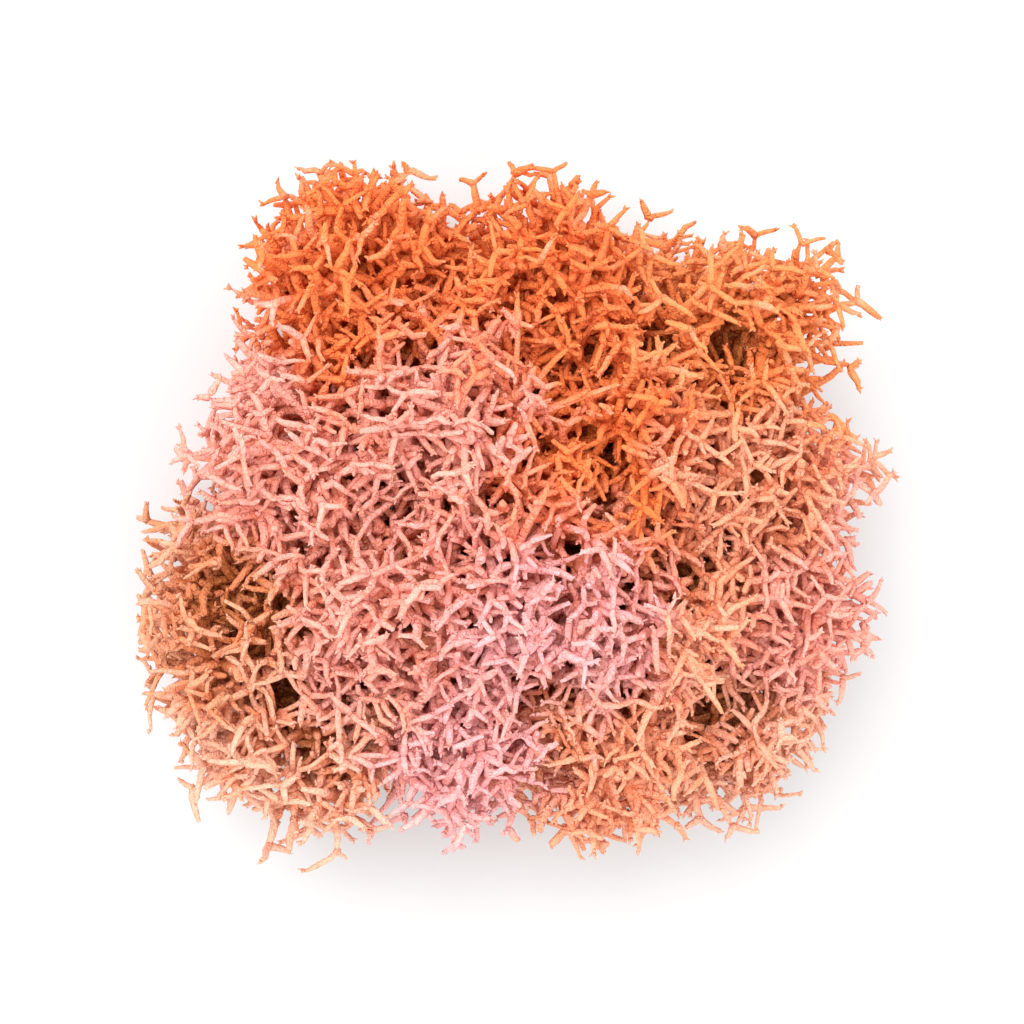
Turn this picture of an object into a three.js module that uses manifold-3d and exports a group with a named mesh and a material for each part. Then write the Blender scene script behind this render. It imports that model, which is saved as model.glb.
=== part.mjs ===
// A clump of reindeer moss (star-tipped reindeer lichen, Cladonia stellaris), loose, on a flat surface.
//
// The clump is a cushion of sixteen separate tufts. Each tuft is one podetium: a stem with a flat cut foot, a
// cone of branches, and a lobed head of densely forked twigs. The tufts at the clump's edge have lower lobes
// too, which hang down round the outside. The tufts touch but don't grow together. Each one is a solid of its
// own here, with its neighbours' room cut away by the plane halfway between the two.
//
// Millimetres, +Z up. The origin is in the middle of the clump's outline, on the surface that it stands on.

import * as THREE from "three";
import { mergeVertices } from "three/addons/utils/BufferGeometryUtils.js";
import Module from "manifold-3d";

// Driving dimensions.
const DOME = { halfWidth: 54, halfDepth: 49, height: 45 }; // the cushion's upper surface, half an ellipsoid
const FOOT_SPREAD = 0.6; // how far apart the feet stand, as a share of how far apart the heads are
const TUFT_GAP = 0.4; // free space between two tufts
const STEM = { radius: 2.3, sides: 8, steps: 4, bend: { across: 0.25, up: 0.6 }, tooLong: 3 };
const HEAD = { squash: 0.86, core: 0.8, detail: 4 }; // its height over its width, its core over its radius
const LOBES = { count: 8, radius: 0.47, reach: 0.63, variation: 0.14, lowest: -0.35 }; // over its radius
const CONE = { count: 4, from: 0.3, upTo: 0.8, radius: 0.84 }; // shares of the stem and of the head's radius
const EDGE_FROM = 0.45; // tufts further out than this share of the dome have lower lobes
const EDGE_MIDDLE = { reach: 0.94, height: 18 };
const EDGE_DETAIL = 5;
const EDGE_LOBES = [
  { reach: 0.97, turn: -0.18, height: 7.5, radius: 6.8 },
  { reach: 0.94, turn: 0.2, height: 8.6, radius: 6.6 },
  { reach: 1.06, turn: -0.12, height: 16, radius: 6.4 },
  { reach: 1.04, turn: 0.16, height: 18, radius: 6.6 },
]; // reach is a share of the head's distance from the middle, turn an angle about the clump's upright axis
const BLOCK = 200; // the side of the boxes that cut a tuft to its own room

const TINTS = {
  orange: 0xf5854c,
  apricot: 0xf09a5e,
  peach: 0xf6a884,
  rose: 0xf4a596,
  lilac: 0xf3aab4,
  tan: 0xd99a6b,
  cream: 0xf6c9b4,
};

// Where each head's middle is, seen from above, its radius, and how far its top stays under the dome.
const TUFTS = [
  { name: "orange_tuft_back_left", x: -17.5, y: 26.5, radius: 12, under: 0.5 },
  { name: "orange_tuft_back", x: 4, y: 25.5, radius: 11.6, under: 2.5 },
  { name: "orange_tuft_middle", x: 11.5, y: 9.1, radius: 11, under: 2 },
  { name: "apricot_tuft_back_right", x: 25, y: 19.5, radius: 12.2, under: 0 },
  { name: "peach_tuft_right", x: 29, y: 2.6, radius: 11.2, under: 1.5 },
  { name: "peach_tuft_front", x: 11, y: -26.5, radius: 11.4, under: 0.5 },
  { name: "peach_tuft_middle_right", x: 17.5, y: -9.5, radius: 11, under: 1 },
  { name: "rose_tuft_left", x: -25, y: 6.3, radius: 11.6, under: 2 },
  { name: "rose_tuft_middle_left", x: -8.8, y: 9.4, radius: 11.4, under: 0 },
  { name: "rose_tuft_middle_front", x: -14.3, y: -8.4, radius: 11, under: 1.5 },
  { name: "rose_tuft_right_front", x: 31.5, y: -11.9, radius: 9.8, under: 1 },
  { name: "lilac_tuft_top", x: 2.5, y: -6, radius: 11.6, under: 0 },
  { name: "lilac_tuft_front", x: -7, y: -23.5, radius: 11.4, under: 2 },
  { name: "tan_tuft_left_front", x: -32, y: -11, radius: 10.8, under: 0 },
  { name: "cream_tuft_front_left", x: -24.5, y: -25, radius: 10.6, under: 0.5 },
  { name: "cream_tuft_front_corner", x: 26, y: -25.5, radius: 9.8, under: 2 },
];

const UP = new THREE.Vector3(0, 0, 1);
const DOWN = UP.clone().negate();
const FLOOR = new THREE.Vector3();
const GOLDEN_ANGLE = Math.PI * (3 - Math.sqrt(5));

const wasm = await Module();
wasm.setup();

// A small repeatable random number generator, from 0 to 1.
function randomFrom(seed) {
  let state = seed;
  return () => {
    state = (state + 0x6d2b79f5) | 0;
    let mixed = Math.imul(state ^ (state >>> 15), 1 | state);
    mixed = (mixed + Math.imul(mixed ^ (mixed >>> 7), 61 | mixed)) ^ mixed;
    return ((mixed ^ (mixed >>> 14)) >>> 0) / 2 ** 32;
  };
}

function solidOf(geometry) {
  geometry.deleteAttribute("normal");
  geometry.deleteAttribute("uv");
  const merged = mergeVertices(geometry, 1e-4);
  return new wasm.Manifold(
    new wasm.Mesh({
      numProp: 3,
      vertProperties: merged.attributes.position.array,
      triVerts: new Uint32Array(merged.index.array),
    }),
  );
}

function geometryOf(solid) {
  const mesh = solid.getMesh();
  const geometry = new THREE.BufferGeometry();
  geometry.setAttribute("position", new THREE.BufferAttribute(mesh.vertProperties, 3));
  geometry.setIndex(new THREE.BufferAttribute(mesh.triVerts, 1));
  geometry.computeVertexNormals();
  return geometry;
}

// A box that fills the far side of the plane through point, in the direction of normal.
function farSide(point, normal) {
  const geometry = new THREE.BoxGeometry(BLOCK, BLOCK, BLOCK);
  geometry.translate(0, 0, BLOCK / 2);
  geometry.applyQuaternion(new THREE.Quaternion().setFromUnitVectors(UP, normal));
  geometry.translate(point.x, point.y, point.z);
  return solidOf(geometry);
}

function regularPolygon(radius, sides) {
  const corners = [];
  for (let i = 0; i < sides; i++) {
    const angle = (2 * Math.PI * i) / sides;
    corners.push(new THREE.Vector2(radius * Math.cos(angle), radius * Math.sin(angle)));
  }
  return new THREE.Shape(corners);
}

// How far out a place is, from 0 in the clump's middle to 1 at the dome's edge.
function farOut({ x, y }) {
  return Math.hypot(x / DOME.halfWidth, y / DOME.halfDepth);
}

function footOf(tuft) {
  return new THREE.Vector3(tuft.x * FOOT_SPREAD, tuft.y * FOOT_SPREAD, 0);
}

function headOf(tuft) {
  const top = DOME.height * Math.sqrt(1 - farOut(tuft) ** 2) - tuft.under;
  return new THREE.Vector3(tuft.x, tuft.y, top - tuft.radius * HEAD.squash);
}

// A stem's centreline: upright at the foot, then leaning out into the head. It starts below the floor, and
// the stem is cut level with the floor later.
function stemCurve(tuft) {
  const foot = footOf(tuft);
  const head = headOf(tuft);
  const bend = foot.clone().lerp(head, STEM.bend.across).setZ(head.z * STEM.bend.up);
  return new THREE.QuadraticBezierCurve3(foot.setZ(-STEM.tooLong), bend, head);
}

function stemSolid(tuft) {
  const section = regularPolygon(STEM.radius, STEM.sides);
  const sweep = { extrudePath: stemCurve(tuft), steps: STEM.steps, bevelEnabled: false };
  return solidOf(new THREE.ExtrudeGeometry(section, sweep));
}

// The balls that make up the cone of branches between the stem and the head.
function coneBalls(tuft) {
  const curve = stemCurve(tuft);
  const balls = [];
  for (let i = 0; i < CONE.count; i++) {
    const share = CONE.from + ((CONE.upTo - CONE.from) * i) / (CONE.count - 1);
    balls.push({ centre: curve.getPoint(share), radius: tuft.radius * CONE.radius * share });
  }
  return balls;
}

// The balls that make up a head: its core, and lobes spread over it from the top down on a golden spiral.
function headBalls(tuft, random) {
  const centre = headOf(tuft);
  const balls = [{ centre, radius: tuft.radius * HEAD.core }];
  for (let i = 0; i < LOBES.count; i++) {
    const height = 1 - ((i + 0.5) / LOBES.count) * (1 - LOBES.lowest);
    const across = Math.sqrt(1 - height ** 2);
    const angle = i * GOLDEN_ANGLE + random();
    const way = new THREE.Vector3(across * Math.cos(angle), across * Math.sin(angle), height * HEAD.squash);
    const size = 1 + (2 * random() - 1) * LOBES.variation;
    balls.push({
      centre: way.multiplyScalar(tuft.radius * LOBES.reach).add(centre),
      radius: tuft.radius * LOBES.radius * size,
    });
  }
  return balls;
}

function outwards(tuft, reach, height, turn = 0) {
  return new THREE.Vector3(tuft.x, tuft.y, 0).multiplyScalar(reach).applyAxisAngle(UP, turn).setZ(height);
}

function edgeBalls(tuft) {
  return EDGE_LOBES.map(({ reach, turn, height, radius }) => ({
    centre: outwards(tuft, reach, height, turn),
    radius,
  }));
}

// One skin drawn over a group of balls, as seen from a middle that lies inside them.
function skinOver(balls, middle, detail) {
  const geometry = new THREE.IcosahedronGeometry(1, detail);
  const position = geometry.attributes.position;
  const way = new THREE.Vector3();
  for (let i = 0; i < position.count; i++) {
    way.fromBufferAttribute(position, i);
    let reach = 0;
    for (const { centre, radius } of balls) {
      const towards = centre.clone().sub(middle);
      const along = towards.dot(way);
      const inside = along ** 2 - towards.lengthSq() + radius ** 2;
      if (inside > 0) reach = Math.max(reach, along + Math.sqrt(inside));
    }
    way.multiplyScalar(reach).add(middle);
    position.setXYZ(i, way.x, way.y, way.z);
  }
  return solidOf(geometry);
}

// The whole tuft as it would stand alone.
function freeTuft(tuft, random) {
  const balls = [...headBalls(tuft, random), ...coneBalls(tuft)];
  let skin;
  if (farOut(tuft) < EDGE_FROM) skin = skinOver(balls, headOf(tuft), HEAD.detail);
  else {
    const middle = outwards(tuft, EDGE_MIDDLE.reach, EDGE_MIDDLE.height);
    skin = skinOver([...balls, ...edgeBalls(tuft)], middle, EDGE_DETAIL);
  }
  return skin.add(stemSolid(tuft)).subtract(farSide(FLOOR, DOWN));
}

// The plane that stands halfway between two tufts, both at their feet and at their heads.
function planeBetween(one, other) {
  const point = footOf(one).add(footOf(other)).multiplyScalar(0.5);
  const along = headOf(one).add(headOf(other)).multiplyScalar(0.5).sub(point).normalize();
  const across = headOf(other).sub(headOf(one));
  const normal = across.addScaledVector(along, -across.dot(along)).normalize();
  return { point, normal };
}

// The tuft, less the room that each neighbour takes.
function fittedTuft(tuft, random) {
  let solid = freeTuft(tuft, random);
  for (const neighbour of TUFTS) {
    if (neighbour === tuft) continue;
    const { point, normal } = planeBetween(tuft, neighbour);
    solid = solid.subtract(farSide(point.addScaledVector(normal, -TUFT_GAP / 2), normal));
  }
  return solid.decompose().sort((a, b) => b.volume() - a.volume())[0];
}

function tuftMesh(tuft, index) {
  const foot = footOf(tuft);
  const solid = fittedTuft(tuft, randomFrom(index + 1));
  const tint = tuft.name.split("_")[0];
  const material = new THREE.MeshStandardMaterial({ color: TINTS[tint], roughness: 0.9, metalness: 0 });
  const mesh = new THREE.Mesh(geometryOf(solid).translate(-foot.x, -foot.y, 0), material);
  mesh.position.copy(foot);
  mesh.name = tuft.name;
  return mesh;
}

const clump = new THREE.Group();
clump.name = "reindeer_moss_clump";
TUFTS.forEach((tuft, index) => clump.add(tuftMesh(tuft, index)));

// The origin goes to the middle of the outline.
const middle = new THREE.Box3().setFromObject(clump).getCenter(new THREE.Vector3());
clump.position.set(-middle.x, -middle.y, 0);

export default clump;
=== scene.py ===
"""The looks of a clump of dyed, preserved reindeer moss (Cladonia stellaris).

Each tuft of the clump has a plain solid in the frame. Here each of those is replaced by the lichen itself.
Tips are scattered close under the clump's outside and, further apart, inside it. A stem forks again and again
until each tip of its tuft has a twig of its own. The twigs grow in millimetres. Their finished meshes and the
studio are in metres.
"""

import math
from collections import namedtuple

import bpy
import numpy as np
from mathutils import Matrix, Vector, noise
from mathutils.bvhtree import BVHTree
from mathutils.kdtree import KDTree


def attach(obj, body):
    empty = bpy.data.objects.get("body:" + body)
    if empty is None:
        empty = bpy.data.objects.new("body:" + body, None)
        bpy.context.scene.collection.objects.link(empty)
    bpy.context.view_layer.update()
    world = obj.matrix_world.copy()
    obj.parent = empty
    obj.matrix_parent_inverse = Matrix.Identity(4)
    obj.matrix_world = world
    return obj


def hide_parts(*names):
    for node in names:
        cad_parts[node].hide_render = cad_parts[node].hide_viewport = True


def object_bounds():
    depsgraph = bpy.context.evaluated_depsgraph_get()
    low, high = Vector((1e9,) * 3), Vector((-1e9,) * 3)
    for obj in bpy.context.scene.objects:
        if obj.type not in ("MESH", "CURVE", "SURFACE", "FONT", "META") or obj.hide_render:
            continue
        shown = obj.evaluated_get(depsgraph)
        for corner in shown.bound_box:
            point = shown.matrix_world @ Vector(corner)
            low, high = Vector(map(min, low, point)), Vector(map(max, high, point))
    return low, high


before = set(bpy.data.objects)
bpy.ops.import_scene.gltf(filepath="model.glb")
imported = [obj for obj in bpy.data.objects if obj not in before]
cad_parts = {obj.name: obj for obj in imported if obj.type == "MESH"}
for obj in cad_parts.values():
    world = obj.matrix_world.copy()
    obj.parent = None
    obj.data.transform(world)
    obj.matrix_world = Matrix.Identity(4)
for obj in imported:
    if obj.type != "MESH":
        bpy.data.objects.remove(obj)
cad_low, cad_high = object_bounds()

MM = 0.001
TINY = 1e-9
SEED = 7
FOOT_HEIGHT = 0.05  # the corners of a solid that are lower than this are its foot's

# The clump's outside: the tufts' solids with the valleys between them filled in.
VALLEY = 8  # a ball of this radius doesn't fit into a valley that is filled
GRID_STEP = 1.5
GRID_SLACK = 0.75 * GRID_STEP  # how near a grid point is to where the ball's middle can be
REACH_OUT = 5  # a tip is never further than this outside a solid
DENTS = {"size": 5, "depth": 0.9, "below": 0.3}  # shallow dents, where the noise is below this
PITS = (  # how wide the pits between the twigs are, how deep, and the noise where one starts and is deepest
    (4.6, 9.0, (0.15, 0.30)),
    (9.0, 3.0, (0.15, 0.45)),
)
PIT_SHIFT = 35.1  # where in the noise the pits are read
OPEN = {  # how open a tuft of each tint grows: how deep its pits are, and how much darker the painted shade in its colour is
    "orange": 0.6,
    "apricot": 1.45,
    "peach": 0.9,
    "rose": 0.75,
    "lilac": 0.6,
    "tan": 1.9,
    "cream": 2.0,
}

# Where the tips are.
GUESSES = 420000
SIDE_MARGIN = 1.4  # between the tips and the sides of the solids' box
TOP_MARGIN = 2.2
FLOOR_MARGIN = 0.92  # between the tips and the floor
APART = (  # how far up the outside faces, and how much further apart the tips stand there
    (-0.6, -0.2, 0.3, 0.7),
    (1.3, 1.0, 1.0, 0.88),
)
LAYERS = (  # from and to this deep, and how far apart the tips are
    (-2.4, -0.6, 4.6),
    (0.0, 1.6, 2.15),
    (1.6, 5.0, 1.8),
    (5.0, 10.0, 2.3),
    (10.0, 22.0, 2.8),
)
PROUD = {"faces_up": -0.2, "pits": 0.3}  # the first layer's tips face up more than this, in no deeper pit
OUTER = 2  # the first layers, which have finer twigs than the others
FACES_DOWN = -0.3  # where the outside faces down more than this, the twigs are as plain as further in
MINGLE = 2.6  # how far the twigs of one tuft reach in between those of the next

# How the branches run.
TIP_RADIUS = 0.46
PIPE_POWER = 4.2  # a branch's radius to this power is the sum of its twigs'
SHORTEST_STEM = 0.22  # over the way from the foot to the middle of the tips
FORK_SHARES = {2: 0.42, 3: 0.44, 4: 0.14}  # how often a branch forks in two, three or four
FORK_DEPTHS = (  # the most tips that a branch carries, and how deep under them it forks, over their spread
    (3, 1.25),
    (9, 1.2),
    (math.inf, 1.0),
)
FORK_VARIES = (0.75, 1.25)
GROUPING_ROUNDS = 5
TANGLE = 1.7  # how far a tip may be from the rest of its group and still belong to it
OUTWARDS = 0.6  # how much a branch turns to the outside
AGREE = 1.5  # how soon it does, where its tips face different ways
TURN = 0.4  # how much of that turn its end has
SMALL_BRANCH = 3  # the most tips on a small branch
SHORTEST_TWIG = 0.8
SHORT_SWAY = 0.3  # how much such a short twig sways
TWIG_OUTWARDS = 0.2
SWAY = 0.25  # how much the end of a twig or a ray sways
STRAIGHT = 0.7  # how long a twig keeps its first and its last heading, over its length

# What grows at the end of a twig and on its side.
RAYS = (0, 0, 2, 2, 3)  # the rays of a star-shaped tip, and of one further in
INNER_RAYS = (0, 0, 1, 2)
RAY_LENGTH = 2.9
RAYS_GROW = 0.3  # how much longer the rays of an open tuft are than those of a dense one
RAY_VARIES = (0.45, 1.35)
RAY_LEANS = (0.3, 1.1)  # how much it leans forward
RAY_OUTWARDS = 0.35  # the most that it points outwards
RAY_ROOT = 0.12  # how far inside its twig it starts
POINTS = (0, 2, 2, 3)  # the small points in which an outer ray ends
POINT_LENGTH = 0.55
POINT_VARIES = (0.6, 1.3)
POINT_LEANS = (0.4, 1.4)
POINT_ROOT = 0.2
BUDS = 0.45  # how many of the twigs near the outside have a short bud on their side
BUD_PLACE = (0.3, 0.75)  # where along its twig
BUD_LENGTH = (0.8, 1.5)
BUD_LEANS = (0.2, 0.9)
BUD_OUTWARDS = 0.3
RAY_WANDERS = 0.25  # how far a ray or a point stands from its even place round the twig
BUD_WANDERS = 0.5
BOX_MARGIN = 0.05  # between the twigs and the solids' box

# A kind of twig: where its rings are, the corners of a ring, how thick it starts and ends, its radius, which
# for a branch comes from its tips, and how much its start and its end count as a tip.
Kind = namedtuple("Kind", "rings sides bulge taper radius end")
KINDS = {
    "trunk": Kind((0.0, 0.08, 0.2, 0.4, 0.6, 0.8, 0.95), 12, 1.2, 0.95, 1.35, (-4.0, -1.0)),
    "branch": Kind((0.0, 0.34, 0.68, 0.95), 6, 1.2, 0.92, None, (0.0, 0.3)),
    "small branch": Kind((0.0, 0.34, 0.68, 0.95), 5, 1.2, 0.92, None, (0.0, 0.4)),
    "twig": Kind((0.0, 0.32, 0.65, 0.94), 5, 1.2, 0.85, 0.46, (0.0, 0.7)),
    "ray": Kind((0.0, 0.3, 0.65, 0.93), 5, 1.1, 0.70, 0.40, (0.4, 1.0)),
    "point": Kind((0.0, 0.7), 4, 1.1, 0.5, 0.22, (0.9, 1.1)),
    "bud": Kind((0.0, 0.75), 5, 1.2, 0.6, 0.32, (0.3, 0.9)),
    "inner twig": Kind((0.0, 0.5, 0.92), 5, 1.2, 0.85, 0.50, (0.0, 0.5)),
    "inner ray": Kind((0.0, 0.5, 0.92), 5, 1.1, 0.75, 0.43, (0.3, 0.8)),
}
WOBBLE = 0.03  # of a twig's middle line, over its length
THICKNESS = (0.72, 1.2)  # how thin and how thick one twig is beside the others of its kind
BULGE_FADES = 3  # how soon the thick start of a twig ends
RING_VARIES = 0.05
CORNER_VARIES = 0.07
LAST_RING = 0.8  # its radius over the twig's, so that the end is round

# The map of a piece is a grid of square cells, one for each twig.
CELL_MARGIN = 0.08
SIDES_FROM = 0.16  # how far up its cell the side of a twig starts
CAP_RADIUS = 0.06  # of the twig's flat start, in the corner below its side

# The dyes, the dark brown of the painted shade deep in the clump, and where the dyes have run.
DYES = {
    "orange": (0.98, 0.22, 0.055),
    "apricot": (0.98, 0.29, 0.09),
    "peach": (0.98, 0.40, 0.23),
    "rose": (0.98, 0.40, 0.32),
    "lilac": (0.98, 0.46, 0.46),
    "tan": (0.84, 0.36, 0.20),
    "cream": (0.98, 0.49, 0.33),
}
STRONG = (0.98, 0.22, 0.035)
# Painted shade: deep in the clump the twigs turn this dark brown, where little light reaches.
PAINTED_SHADE_BROWN = (0.40, 0.10, 0.016)
CREAM = (0.98, 0.62, 0.45)
RUNS = {  # how far from the middle of its tuft the dye has run
    "orange_tuft_back_left": (4, -7, 0),
    "orange_tuft_back": (-5, -7, 0),
    "orange_tuft_middle": (-7, -5, 0),
    "peach_tuft_right": (-6, 0, 0),
    "peach_tuft_middle_right": (-2, 4, 0),
}
SPREADS = {"orange": 2.5}  # how strong a dye is where it has run into other tufts
DYE_WIDTH = 8.5
OWN_DYE = 1.1  # how much stronger a tuft's own dye is
EDGE_LUMPS = {"size": 7, "shifts": (5.7, 21.3, 38.9), "reach": 8}  # they make the dyes' edges uneven

# How the colour changes along a twig and further in, where depths are in millimetres. Paler at the outside is
# partly the tips' own colour and partly painted light; stronger dye further in is partly the dye's own and
# partly painted shade; the brown deepest in is painted shade.
DYE_EDGE = (0.15, 0.85)  # the neighbours' share from which their dye shows, and from which no other does
DEEPER = {  # the middle of each value, and by how much it makes a place look deeper, so darker in the painted shade
    "patches": (0.5, 7.0),
    "shade": (0.5, 3.0),
    "end": (0.4, -3.0),
    "mottle": (0.5, 5.0),
}
OPEN_DEEPER = 0.75  # the power of a tuft's openness by which it looks deeper, so darker in the painted shade
STRONG_DYE = 0.5  # how much of STRONG there is in the stronger dye
# How deep the dye starts to be stronger, and how deep it is strongest: partly the dye's own, partly painted
# shade.
STRONG_AND_SHADED_FROM = (2.0, 7.0)
# How deep the painted shade starts to turn the colour brown, and how deep it is fully brown.
PAINTED_SHADE_FROM = (6.0, 12.0)
# Paler at the outside, partly the tips' own colour and partly painted light: the depth until which it shows,
# and the power that makes the dye paler.
PALE_AND_LIT_UNTIL = (-2.5, 3.0)
PALE_AND_LIT_POWER = 0.96
Pattern = namedtuple("Pattern", "size detail roughness")
PATCHES = Pattern(7, 1, 0.5)
BLOTCHES = Pattern(4.5, 1, 0.5)
MOTTLE = Pattern(0.6, 1, 0.6)
GRAINS = Pattern(0.25, 1, 0.6)
BUMPS = Pattern(0.35, 1, 0.6)
# Spots: the noise between which one fades in, or a faded patch fades out, and how much of it shows.
FADED_PATCH = (0.32, 0.48, 0.3)
STRONG_PATCH = (0.52, 0.66, 0.45)
STRONG_SPOT = (0.45, 0.70, 0.4)
DARK_GRAIN = (0.42, 0.62, 0.3)
GRAIN_POWER = 1.5
ROUGHNESS = (0.6, 0.3)  # the least, and how much more there is with the mottle
BUMP_HEIGHT = 0.5
SPECULAR = 0.3

# The studio, in metres and watts.
WORLD_LIGHT = 1.26
FLOOR_REACH = 2
FLOOR_GREY = 0.65
LIGHTS = {  # where each one is, how wide it is, and its power
    "key": ((-0.24, 0.25, 0.57), 0.36, 3.5),
    "fill": ((0.5, -0.3, 0.5), 0.6, 0.8),
}
VIEW = (-0.17, 0.10, 0.98)  # from the clump to the camera: nearly straight up, a little to the left and back
DISTANCE = 0.272
LENS = 85
NEAREST = 0.01
GAMMA = 1.12
BOUNCES = 6

rng = np.random.default_rng(SEED)
box_low = np.array(cad_low) / MM
box_high = np.array(cad_high) / MM


def unit(v):
    return v / np.maximum(np.linalg.norm(v, axis=-1, keepdims=True), TINY)


def noise_at(points, size, shift=0.0):
    """Smooth noise from -1 to 1 at each point, with lumps of this size."""
    return np.array([noise.noise(Vector(p)) for p in (points / size + shift).tolist()])


def smooth_step(x, low, high):
    t = ((x - low) / (high - low)).clip(0, 1)
    return t * t * (3 - 2 * t)


class Solid:
    """A tuft's plain solid: its triangles, in millimetres, and the middles of its foot and of its head."""

    def __init__(self, node):
        mesh = node.data
        mesh.calc_loop_triangles()
        corners = np.empty(len(mesh.vertices) * 3)
        mesh.vertices.foreach_get("co", corners)
        triangles = np.empty(len(mesh.loop_triangles) * 3, int)
        mesh.loop_triangles.foreach_get("vertices", triangles)
        self.name = node.name
        self.tint = node.name.split("_")[0]
        self.corners = corners.reshape(-1, 3) / MM
        self.triangles = triangles.reshape(-1, 3)
        foot = self.corners[self.corners[:, 2] < FOOT_HEIGHT]
        self.foot = (foot.min(0) + foot.max(0)) / 2
        self.head = (self.corners.min(0) + self.corners.max(0)) / 2


class Outside:
    """The clump's outside. It knows how deep under it a point lies and which tuft the point belongs to."""

    def __init__(self, solids):
        corners = np.concatenate([s.corners for s in solids])
        starts = np.cumsum([0] + [len(s.corners) for s in solids[:-1]])
        triangles = np.concatenate([s.triangles + k for s, k in zip(solids, starts)])
        self.owners = np.repeat(np.arange(len(solids)), [len(s.triangles) for s in solids])
        self.solids = BVHTree.FromPolygons(corners.tolist(), triangles.tolist())
        margin = VALLEY + GRID_STEP
        axes = [np.arange(a - margin, b + margin, GRID_STEP) for a, b in zip(corners.min(0), corners.max(0))]
        grid = np.stack(np.meshgrid(*axes, indexing="ij"), -1).reshape(-1, 3)
        middles = []  # of the balls that touch the solids from outside
        for point in map(Vector, grid.tolist()):
            near, normal, _, distance = self.solids.find_nearest(point)
            if abs(distance - VALLEY) < GRID_SLACK and (point - near).dot(normal) > 0:
                middles.append(near + (point - near) * (VALLEY / distance))
        self.balls = KDTree(len(middles))
        for i, middle in enumerate(middles):
            self.balls.insert(middle, i)
        self.balls.balance()

    def depth(self, points):
        """How deep each point lies, and which way is out."""
        found = [self.balls.find(p) for p in points.tolist()]
        depth = np.array([f[2] for f in found]) - VALLEY
        out = unit(np.array([f[0] for f in found]) - points)
        return depth, out

    def owner(self, points):
        """Which tuft's solid is nearest to each point."""
        return np.array([self.owners[self.solids.find_nearest(Vector(p))[2]] for p in points.tolist()])


def thinned(points, spacing, taken):
    """Which points to keep so that none is closer than its spacing to another one or to a taken point."""
    tree = KDTree(max(len(taken), 1))
    for i, p in enumerate(taken.tolist()):
        tree.insert(p, i)
    tree.balance()
    cell = spacing.max()
    cells = {}
    kept = []
    steps = [(x, y, z) for x in (-1, 0, 1) for y in (-1, 0, 1) for z in (-1, 0, 1)]
    where = np.floor(points / cell).astype(int).tolist()
    points = points.tolist()
    for i in rng.permutation(len(points)).tolist():
        point, apart = points[i], spacing[i]
        if len(taken) and tree.find(point)[2] < apart:
            continue
        x, y, z = where[i]
        if any(
            math.dist(other, point) < apart
            for dx, dy, dz in steps
            for other in cells.get((x + dx, y + dy, z + dz), ())
        ):
            continue
        cells.setdefault((x, y, z), []).append(point)
        kept.append(i)
    return np.array(kept, int)


def place_tips(outside, low, high, openness):
    """Tips: where they are, which way is out, and in which layer they lie."""
    guesses = low + (high - low) * rng.random((GUESSES, 3))
    depth, out = outside.depth(guesses)
    near = np.flatnonzero(depth < LAYERS[-1][1])
    found = [outside.solids.find_nearest(p) for p in guesses[near].tolist()]
    inside = [
        f[3] < REACH_OUT or (Vector(p) - f[0]).dot(f[1]) < 0 for p, f in zip(guesses[near].tolist(), found)
    ]
    owners = outside.owners[[f[2] for f in found]][inside]
    near = near[inside]
    guesses, depth, out = guesses[near], depth[near], out[near]
    under = guesses + out * depth[:, None]
    dents = DENTS["depth"] * (noise_at(guesses, DENTS["size"]) - DENTS["below"]).clip(None, 0)
    pits = sum(
        deep * smooth_step(noise_at(under, size, PIT_SHIFT + size), *start) for size, deep, start in PITS
    )
    pits = pits * openness[owners]
    depth = depth + dents - pits
    points, outs, layers = np.empty((0, 3)), np.empty((0, 3)), np.empty(0, int)
    for layer, (top, bottom, spacing) in enumerate(LAYERS):
        some = np.flatnonzero((depth > top) & (depth < bottom))
        if layer == 0:
            some = some[(out[some, 2] > PROUD["faces_up"]) & (pits[some] < PROUD["pits"])]
        apart = spacing * np.interp(out[some, 2], *APART)
        kept = some[thinned(guesses[some], apart, points)]
        points = np.concatenate([points, guesses[kept]])
        outs = np.concatenate([outs, out[kept]])
        layers = np.concatenate([layers, np.full(len(kept), layer)])
    return points, outs, layers


def split(points, count):
    """Sorts points into about this many groups, each round its own centre."""
    centres = [points[rng.integers(len(points))]]
    for _ in range(count - 1):
        far = np.min([((points - c) ** 2).sum(1) for c in centres], axis=0)
        centres.append(points[rng.choice(len(points), p=far / far.sum())])
    centres = np.array(centres)
    for _ in range(GROUPING_ROUNDS):
        nearest = ((points[:, None] - centres) ** 2).sum(2).argmin(1)
        centres = np.array([
            points[nearest == i].mean(0) if (nearest == i).any() else centres[i] for i in range(len(centres))
        ])
    return [g for i in range(count) if len(g := np.flatnonzero(nearest == i))]


def around(way, count, leans, wanders=RAY_WANDERS):
    """Directions spread round a way, each leaning forward by this much."""
    side = unit(np.cross(way, rng.normal(size=3)))
    other = np.cross(way, side)
    for i in range(count):
        turn = 2 * math.pi * (i + rng.uniform(-wanders, wanders)) / count
        yield unit(math.cos(turn) * side + math.sin(turn) * other + rng.uniform(*leans) * way)


def in_box(point, kind):
    """The point, or the nearest one where the end of a twig of this kind stays in the solids' box."""
    space = KINDS[kind].radius + BOX_MARGIN
    return point.clip(box_low + space, box_high - space)


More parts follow.
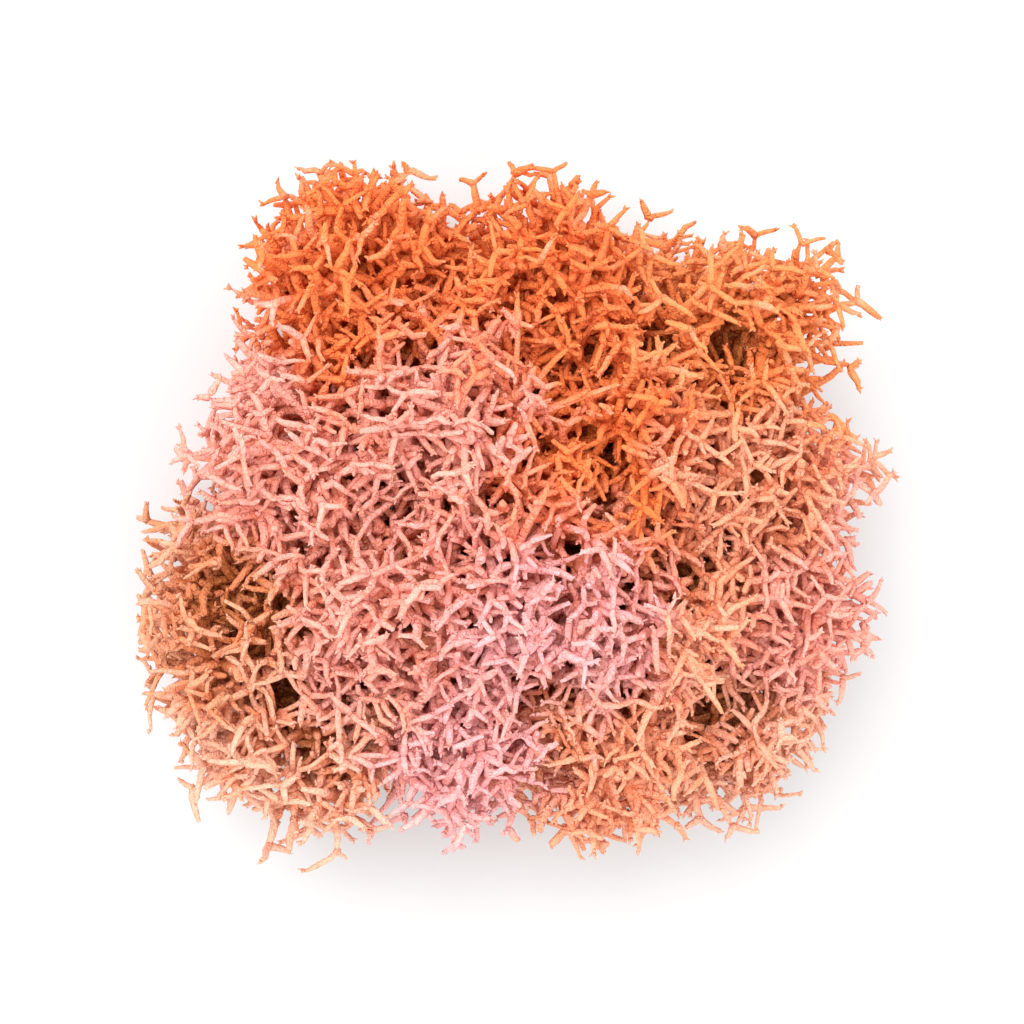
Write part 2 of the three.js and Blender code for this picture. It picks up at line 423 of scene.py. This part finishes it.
class Tuft:
    """A tuft, grown from its foot to its tips. A twig is (start, heading, end, end heading, tips, kind)."""

    def __init__(self, solid):
        self.foot = solid.foot
        self.ray_length = RAY_LENGTH * OPEN[solid.tint] ** RAYS_GROW
        self.twigs = []

    def grow(self, tips, outs, layers):
        """Adds all twigs: a stem from the foot to the first fork, and everything that forks from it."""
        up = np.array([0.0, 0.0, 1.0])
        middle = tips.mean(0)
        spread = math.sqrt(((tips - middle) ** 2).sum(1).mean())
        reach = middle - self.foot
        share = max(1 - spread / np.linalg.norm(reach), SHORTEST_STEM)
        end = self.foot + reach * share
        way = unit(reach + up * np.linalg.norm(reach))
        self.twigs.append((self.foot, up, end, way, len(tips), "trunk"))
        self.fork(end, way, tips, outs, layers)

    def fork(self, start, heading, tips, outs, layers):
        """Forks from start until each tip has a twig."""
        count = min(int(rng.choice(list(FORK_SHARES), p=list(FORK_SHARES.values()))), len(tips))
        for group in split(tips + rng.normal(scale=TANGLE, size=tips.shape), count):
            mine, out = tips[group], outs[group]
            if len(mine) == 1:
                self.end_twig(start, heading, mine[0], out[0], layers[group[0]])
                continue
            middle = mine.mean(0)
            spread = math.sqrt(((mine - middle) ** 2).sum(1).mean())
            depth = next(share for most, share in FORK_DEPTHS if len(mine) <= most)
            towards = unit(middle - start)
            outwards = OUTWARDS * unit(out.mean(0)) * min(1, np.linalg.norm(out.mean(0)) * AGREE)
            away = unit(towards + outwards)
            end = middle - away * spread * depth * rng.uniform(*FORK_VARIES)
            if (end - start) @ towards < SHORTEST_TWIG:
                end = start + SHORTEST_TWIG * unit(towards + SHORT_SWAY * rng.normal(size=3))
            way = unit(unit(end - start) + TURN * away)
            kind = "branch" if len(mine) > SMALL_BRANCH else "small branch"
            self.twigs.append((start, heading, end, way, len(mine), kind))
            self.fork(end, way, mine, out, layers[group])

    def end_twig(self, start, heading, tip, out, layer):
        """The last twig, to a tip, with the star in which it ends."""
        way = unit(unit(tip - start) + TWIG_OUTWARDS * out + SWAY * rng.normal(size=3))
        outer = layer < OUTER and out[2] > FACES_DOWN
        self.twigs.append((start, heading, tip, way, 1, "twig" if outer else "inner twig"))
        if outer and rng.random() < BUDS:
            self.bud(start, tip, out)
        self.star(tip, way, out, layer, outer)

    def star(self, end, way, out, layer, outer):
        """The short rays in which a twig ends, spread round it like a star, with their own points."""
        rays = rng.choice(RAYS if layer < OUTER else INNER_RAYS)
        if not rays and outer:
            self.points(end, way)
        for ray in around(way, rays, RAY_LEANS):
            ray = unit(ray - max(ray @ out - RAY_OUTWARDS, 0) * out)
            tip = in_box(end + ray * self.ray_length * rng.uniform(*RAY_VARIES), "ray")
            last = unit(ray + SWAY * rng.normal(size=3))
            start = end - way * RAY_ROOT
            self.twigs.append((start, unit(way + ray), tip, last, 1, "ray" if outer else "inner ray"))
            if outer:
                self.points(tip, last)

    def points(self, end, way):
        """The small points in which an outer twig or ray ends."""
        for ray in around(way, rng.choice(POINTS), POINT_LEANS):
            tip = in_box(end + ray * POINT_LENGTH * rng.uniform(*POINT_VARIES), "point")
            self.twigs.append((end - way * POINT_ROOT, unit(way + ray), tip, ray, 1, "point"))

    def bud(self, start, end, out):
        """A short bud on the side of a twig."""
        way = unit(end - start)
        foot = start + (end - start) * rng.uniform(*BUD_PLACE)
        ray = unit(next(around(way, 1, BUD_LEANS, BUD_WANDERS)) + BUD_OUTWARDS * out)
        tip = in_box(foot + ray * rng.uniform(*BUD_LENGTH), "bud")
        self.twigs.append((foot, ray, tip, ray, 1, "bud"))


def middle_lines(twigs, kind):
    """A batch of twigs' middle lines, each a smooth curve with a point at each ring and one at the end."""
    start, heading, end, way = (np.array([t[i] for t in twigs]) for i in range(4))
    length = np.linalg.norm(end - start, axis=1, keepdims=True)
    t = np.array(kind.rings + (1.0,))[None, :, None]
    line = (
        (2 * t**3 - 3 * t**2 + 1) * start[:, None]
        + (t**3 - 2 * t**2 + t) * (heading * length * STRAIGHT)[:, None]
        + (-2 * t**3 + 3 * t**2) * end[:, None]
        + (t**3 - t**2) * (way * length * STRAIGHT)[:, None]
    )
    wobble = rng.normal(scale=WOBBLE, size=line.shape) * length[:, None]
    wobble[:, 0] = 0
    wobble[:, -1] = 0
    line = line + wobble
    tangent = unit(np.gradient(line, axis=1))
    tangent[:, 0] = heading
    return line, tangent


def radii(twigs, kind):
    """How thick each twig is at the points of its middle line."""
    tips = np.array([t[4] for t in twigs], float)[:, None]
    radius = np.full(tips.shape, kind.radius) if kind.radius else TIP_RADIUS * tips ** (1 / PIPE_POWER)
    t = np.array(kind.rings + (1.0,))[None]
    radius = radius * (1 + (kind.taper - 1) * t)
    radius = radius * (1 + (kind.bulge - 1) * (1 - t).clip(0) ** BULGE_FADES)
    each = rng.uniform(*THICKNESS, (len(twigs), 1))
    return radius * each * (1 + rng.normal(scale=RING_VARIES, size=radius.shape))


def tubes(twigs, kind):
    """A batch of twigs of one kind, each a closed tube with a rounded end: their rings and middle lines."""
    line, tangent = middle_lines(twigs, kind)
    radius = radii(twigs, kind)
    side = unit(np.cross(tangent[:, 0], rng.normal(size=(len(twigs), 3))))
    sides, count = kind.sides, len(kind.rings)
    angle = np.arange(sides) * 2 * math.pi / sides
    rings = np.empty((len(twigs), count, sides, 3))
    uneven = 1 + rng.normal(scale=CORNER_VARIES, size=(len(twigs), count, sides))
    for i in range(count):
        side = unit(side - tangent[:, i] * (side * tangent[:, i]).sum(1, keepdims=True))
        other = np.cross(tangent[:, i], side)
        r = radius[:, i, None] * (LAST_RING if i == count - 1 else 1.0)
        for k in range(sides):
            across = math.cos(angle[k]) * side + math.sin(angle[k]) * other
            rings[:, i, k] = line[:, i] + r * uneven[:, i, k, None] * across
    return rings, line


def tube_faces(kind):
    """The faces of one tube, as numbers of its points, and where their corners lie in its cell of the map."""
    sides, rings = kind.sides, kind.rings
    up = [SIDES_FROM + (1 - SIDES_FROM) * r for r in rings]
    quads, quad_map = [], []
    for i in range(len(rings) - 1):
        for k in range(sides):
            n = (k + 1) % sides
            quads.append((i * sides + k, i * sides + n, (i + 1) * sides + n, (i + 1) * sides + k))
            u, v = k / sides, (k + 1) / sides
            quad_map.append(((u, up[i]), (v, up[i]), (v, up[i + 1]), (u, up[i + 1])))
    top = (len(rings) - 1) * sides
    end = len(rings) * sides
    fans = [(top + k, top + (k + 1) % sides, end) for k in range(sides)]
    fan_map = [
        ((k / sides, up[-1]), ((k + 1) / sides, up[-1]), ((k + 0.5) / sides, 1.0)) for k in range(sides)
    ]
    cap = [tuple(range(sides - 1, -1, -1))]
    turns = [2 * math.pi * k / sides for k in cap[0]]
    cap_map = [tuple((CAP_RADIUS * (1 + math.cos(a)), CAP_RADIUS * (1 + math.sin(a))) for a in turns)]
    return [(np.array(f), np.array(m)) for f, m in ((quads, quad_map), (fans, fan_map), (cap, cap_map))]


def batch_faces(kind, first_points, cells, cells_across):
    """A batch of twigs' faces, as numbers of their points, and where their corners lie in the map."""
    corner = np.stack([cells % cells_across, cells // cells_across], -1) + CELL_MARGIN
    for pattern, flat in tube_faces(kind):
        faces = (first_points[:, None, None] + pattern[None]).reshape(-1, pattern.shape[1])
        flat = corner[:, None, None] + (1 - 2 * CELL_MARGIN) * flat[None]
        yield faces, flat.reshape(-1, 2) / cells_across


def on_rings(values, sides):
    """Values of the middle lines' points, for each point of the rings and for the last points."""
    return np.concatenate([np.repeat(values[:, :-1], sides, axis=1), values[:, -1:]], axis=1)


def growth_of(line, kind, outside):
    """For the middle lines' points: how deep each lies, its twig's shade, and how much it counts as a tip."""
    deep = outside.depth(line.reshape(-1, 3))[0].reshape(line.shape[:2])
    shade = np.broadcast_to(rng.random(len(line))[:, None], deep.shape)
    along = np.broadcast_to(np.array(kind.rings + (1.0,)), deep.shape)
    end = kind.end[0] + along * (kind.end[1] - kind.end[0])
    return np.stack([deep, shade, end, np.ones_like(deep)], -1)


def mesh_of(name, twigs, outside, neighbours):
    """One mesh of all a tuft's twigs, with what their material needs to know of each point."""
    verts, growths, blends, faces, maps = [], [], [], [], []
    cells_across = math.ceil(math.sqrt(len(twigs)))
    base = done = 0
    for title, kind in KINDS.items():
        batch = [t for t in twigs if t[5] == title]
        if not batch:
            continue
        count = len(batch)
        rings, line = tubes(batch, kind)
        places = np.concatenate([rings.reshape(count, -1, 3), line[:, -1:]], axis=1)
        places[..., 2] = places[..., 2].clip(0)
        growth = growth_of(line, kind, outside)
        blend = neighbours(line.reshape(-1, 3)).reshape(growth.shape)
        verts.append(places.reshape(-1, 3))
        growths.append(on_rings(growth, kind.sides).reshape(-1, 4))
        blends.append(on_rings(blend, kind.sides).reshape(-1, 4))
        first_points = base + np.arange(count) * places.shape[1]
        for some_faces, flat in batch_faces(kind, first_points, done + np.arange(count), cells_across):
            faces.append(some_faces)
            maps.append(flat)
        base += count * places.shape[1]
        done += count
    return mesh_from(name, verts, faces, maps, {"growth": growths, "neighbours": blends})


def mesh_from(name, verts, faces, maps, attributes):
    """A smooth mesh of these batches of points, in millimetres, and faces, with their map and attributes."""
    verts = np.concatenate(verts)
    loops = np.concatenate([f.ravel() for f in faces])
    sizes = np.concatenate([np.full(len(f), f.shape[1]) for f in faces])
    mesh = bpy.data.meshes.new(name)
    mesh.vertices.add(len(verts))
    mesh.vertices.foreach_set("co", (verts * MM).ravel())
    mesh.loops.add(len(loops))
    mesh.loops.foreach_set("vertex_index", loops)
    mesh.polygons.add(len(sizes))
    mesh.polygons.foreach_set("loop_start", np.concatenate([[0], np.cumsum(sizes)[:-1]]))
    mesh.polygons.foreach_set("loop_total", sizes)
    mesh.update(calc_edges=True)
    mesh.polygons.foreach_set("use_smooth", np.ones(len(sizes), bool))
    uv = mesh.uv_layers.new(name="OFBake")
    uv.data.foreach_set("uv", np.concatenate(maps).ravel())
    for title, values in attributes.items():
        attribute = mesh.color_attributes.new(title, "FLOAT_COLOR", "POINT")
        attribute.data.foreach_set("color", np.concatenate(values).ravel())
    return mesh


def neighbours_of(own, solids):
    """For points of one tuft: the dye of the tufts around, and how much of it shows."""
    centres = np.array([s.head + RUNS.get(s.name, (0, 0, 0)) for s in solids])
    dyes = np.array([DYES[s.tint] for s in solids])
    spreads = np.array([SPREADS.get(s.tint, 1.0) for s in solids])

    def colours(points):
        shift = np.stack([noise_at(points, EDGE_LUMPS["size"], s) for s in EDGE_LUMPS["shifts"]], -1)
        distance = np.linalg.norm(points[:, None] + EDGE_LUMPS["reach"] * shift[:, None] - centres, axis=2)
        weight = np.exp(-((distance / DYE_WIDTH) ** 2))
        weight *= spreads
        weight[:, own] *= OWN_DYE
        others = np.delete(weight, own, axis=1)
        total = others.sum(1, keepdims=True)
        colour = others @ np.delete(dyes, own, axis=0) / np.maximum(total, TINY)
        share = total / np.maximum(weight.sum(1, keepdims=True), TINY)
        return np.concatenate([colour, share], axis=1)

    return colours


class Nodes:
    """Adds shader nodes to a material. A value is a number, a colour or a node's socket."""

    def __init__(self, material):
        self.tree = material.node_tree

    def put(self, socket, value):
        if isinstance(value, bpy.types.NodeSocket):
            self.tree.links.new(value, socket)
        elif isinstance(value, tuple):
            socket.default_value = (*value, 1)
        else:
            socket.default_value = value

    def math(self, operation, a, b):
        node = self.tree.nodes.new("ShaderNodeMath")
        node.operation = operation
        self.put(node.inputs[0], a)
        self.put(node.inputs[1], b)
        return node.outputs[0]

    def add(self, a, b):
        return self.math("ADD", a, b)

    def times(self, a, b):
        return self.math("MULTIPLY", a, b)

    def minus(self, a, b):
        return self.math("SUBTRACT", a, b)

    def between(self, value, low, high):
        """0 below low, 1 above high."""
        node = self.tree.nodes.new("ShaderNodeMapRange")
        node.interpolation_type = "SMOOTHSTEP"
        self.put(node.inputs["Value"], value)
        node.inputs["From Min"].default_value = low
        node.inputs["From Max"].default_value = high
        return node.outputs["Result"]

    def mix(self, factor, a, b):
        """Colour a where the factor is 0, colour b where it is 1."""
        node = self.tree.nodes.new("ShaderNodeMix")
        node.data_type = "RGBA"
        colour_a, colour_b = [socket for socket in node.inputs if socket.type == "RGBA"]
        mixed = next(socket for socket in node.outputs if socket.type == "RGBA")
        self.put(node.inputs["Factor"], factor)
        self.put(colour_a, a)
        self.put(colour_b, b)
        return mixed

    def gamma(self, colour, power):
        node = self.tree.nodes.new("ShaderNodeGamma")
        self.put(node.inputs["Color"], colour)
        node.inputs["Gamma"].default_value = power
        return node.outputs["Color"]

    def noise(self, pattern):
        """Noise from 0 to 1, with lumps of the pattern's size."""
        node = self.tree.nodes.new("ShaderNodeTexNoise")
        where = self.tree.nodes.new("ShaderNodeTexCoord")
        self.put(node.inputs["Vector"], where.outputs["Object"])
        node.inputs["Scale"].default_value = 1 / (pattern.size * MM)
        node.inputs["Detail"].default_value = pattern.detail
        node.inputs["Roughness"].default_value = pattern.roughness
        return node.outputs["Fac"]

    def attribute(self, name):
        """An attribute's colour, its alpha, and the colour's red, green and blue."""
        node = self.tree.nodes.new("ShaderNodeAttribute")
        node.attribute_name = name
        parts = self.tree.nodes.new("ShaderNodeSeparateColor")
        self.put(parts.inputs[0], node.outputs["Color"])
        return (node.outputs["Color"], node.outputs["Alpha"], *parts.outputs)


def lichen(tint):
    """The dyed lichen: pale at the tips, partly their own colour and partly painted light; further in
    stronger dye, partly painted shade, and then brown painted shade; and all over spotted.
    """
    material = bpy.data.materials.new(f"lichen_{tint}")
    material.use_nodes = True
    graph = Nodes(material)
    _, _, depth, shade, end = graph.attribute("growth")
    neighbours, share, *_ = graph.attribute("neighbours")
    patches, blotches, mottle, grains = map(graph.noise, (PATCHES, BLOTCHES, MOTTLE, GRAINS))

    def spots(pattern, low, high, strength):
        return graph.times(graph.between(pattern, low, high), strength)

    # The depth that the painted light and shade follow: a twig's depth under the outside, shifted by the
    # noise, its shade and how much it counts as a tip, and deeper in open tufts.
    deep = depth
    for name, value in (("patches", patches), ("shade", shade), ("end", end), ("mottle", mottle)):
        middle, millimetres = DEEPER[name]
        deep = graph.add(deep, graph.times(graph.minus(value, middle), millimetres))
    deep = graph.times(deep, OPEN[tint] ** OPEN_DEEPER)
    dye = graph.mix(graph.between(share, *DYE_EDGE), DYES[tint], neighbours)
    strong = graph.mix(STRONG_DYE, dye, STRONG)
    # Stronger dye further in, partly the dye's own and partly painted shade.
    colour = graph.mix(graph.between(deep, *STRONG_AND_SHADED_FROM), dye, strong)
    # Painted shade: deep in the clump the colour turns brown.
    colour = graph.mix(graph.between(deep, *PAINTED_SHADE_FROM), colour, PAINTED_SHADE_BROWN)
    # Painted light, partly the tips' own paler colour: near the outside the colour goes back to the dye, a
    # little paler.
    pale = graph.minus(1.0, graph.between(deep, *PALE_AND_LIT_UNTIL))
    colour = graph.mix(pale, colour, graph.gamma(dye, PALE_AND_LIT_POWER))
    start, full, strength = FADED_PATCH
    faded = graph.minus(1.0, graph.between(blotches, start, full))
    colour = graph.mix(graph.times(graph.times(faded, pale), strength), colour, CREAM)
    colour = graph.mix(spots(blotches, *STRONG_PATCH), colour, strong)
    colour = graph.mix(spots(mottle, *STRONG_SPOT), colour, strong)
    colour = graph.mix(spots(grains, *DARK_GRAIN), colour, graph.gamma(colour, GRAIN_POWER))
    bump = material.node_tree.nodes.new("ShaderNodeBump")
    bump.inputs["Strength"].default_value = 1.0
    bump.inputs["Distance"].default_value = BUMP_HEIGHT * MM
    graph.put(bump.inputs["Height"], graph.noise(BUMPS))
    least, more = ROUGHNESS
    shader = material.node_tree.nodes["Principled BSDF"]
    graph.put(shader.inputs["Base Color"], colour)
    graph.put(shader.inputs["Roughness"], graph.add(least, graph.times(mottle, more)))
    graph.put(shader.inputs["Normal"], bump.outputs["Normal"])
    shader.inputs["Specular IOR Level"].default_value = SPECULAR
    return material


def moss():
    """A piece of twigs for each tuft's solid."""
    solids = [Solid(node) for _, node in sorted(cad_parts.items())]
    outside = Outside(solids)
    low, high = box_low + SIDE_MARGIN, box_high - SIDE_MARGIN
    low[2], high[2] = FLOOR_MARGIN, box_high[2] - TOP_MARGIN
    tips, outs, layers = place_tips(outside, low, high, np.array([OPEN[s.tint] for s in solids]))
    owner = outside.owner(tips + rng.normal(scale=MINGLE, size=tips.shape))
    materials = {tint: lichen(tint) for tint in DYES}
    for i, solid in enumerate(solids):
        mine = owner == i
        tuft = Tuft(solid)
        tuft.grow(tips[mine], outs[mine], layers[mine])
        name = solid.name + "_twigs"
        mesh = mesh_of(name, tuft.twigs, outside, neighbours_of(i, solids))
        mesh.materials.append(materials[solid.tint])
        piece = bpy.data.objects.new(name, mesh)
        bpy.context.scene.collection.objects.link(piece)
        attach(piece, "root")
        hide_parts(solid.name)


def studio():
    """A pale floor, a pale world and soft lights."""
    world = bpy.data.worlds.new("studio")
    bpy.context.scene.world = world
    world.use_nodes = True
    world.node_tree.nodes["Background"].inputs["Color"].default_value = (1, 1, 1, 1)
    world.node_tree.nodes["Background"].inputs["Strength"].default_value = WORLD_LIGHT
    mesh = bpy.data.meshes.new("floor")
    corners = [(x * FLOOR_REACH, y * FLOOR_REACH, 0) for x, y in ((-1, -1), (1, -1), (1, 1), (-1, 1))]
    mesh.from_pydata(corners, [], [(0, 1, 2, 3)])
    floor = bpy.data.objects.new("floor", mesh)
    bpy.context.scene.collection.objects.link(floor)
    material = bpy.data.materials.new("floor")
    material.use_nodes = True
    grey = (FLOOR_GREY, FLOOR_GREY, FLOOR_GREY, 1)
    material.node_tree.nodes["Principled BSDF"].inputs["Base Color"].default_value = grey
    mesh.materials.append(material)
    for name, (place, size, power) in LIGHTS.items():
        light = bpy.data.lights.new(name, "AREA")
        light.energy = power
        light.size = size
        lamp = bpy.data.objects.new(name, light)
        lamp.location = place
        lamp.rotation_mode = "QUATERNION"
        lamp.rotation_quaternion = (-Vector(place)).to_track_quat("-Z", "Y")
        bpy.context.scene.collection.objects.link(lamp)


def camera():
    """A camera above the clump, with the clump's back at the top of the picture."""
    view = Vector(VIEW).normalized()
    up = (Vector((0, 1, 0)) - view * view.y).normalized()
    data = bpy.data.cameras.new("camera")
    data.lens = LENS
    data.clip_start = NEAREST
    eye = bpy.data.objects.new("camera", data)
    eye.location = (cad_low + cad_high) / 2 + view * DISTANCE
    eye.rotation_mode = "QUATERNION"
    eye.rotation_quaternion = Matrix((up.cross(view), up, view)).transposed().to_quaternion()
    bpy.context.scene.collection.objects.link(eye)
    bpy.context.scene.camera = eye


moss()
studio()
camera()
bpy.context.scene.view_settings.view_transform = "Standard"
bpy.context.scene.view_settings.gamma = GAMMA
bpy.context.scene.cycles.max_bounces = BOUNCES
bpy.context.scene.cycles.glossy_bounces = 1
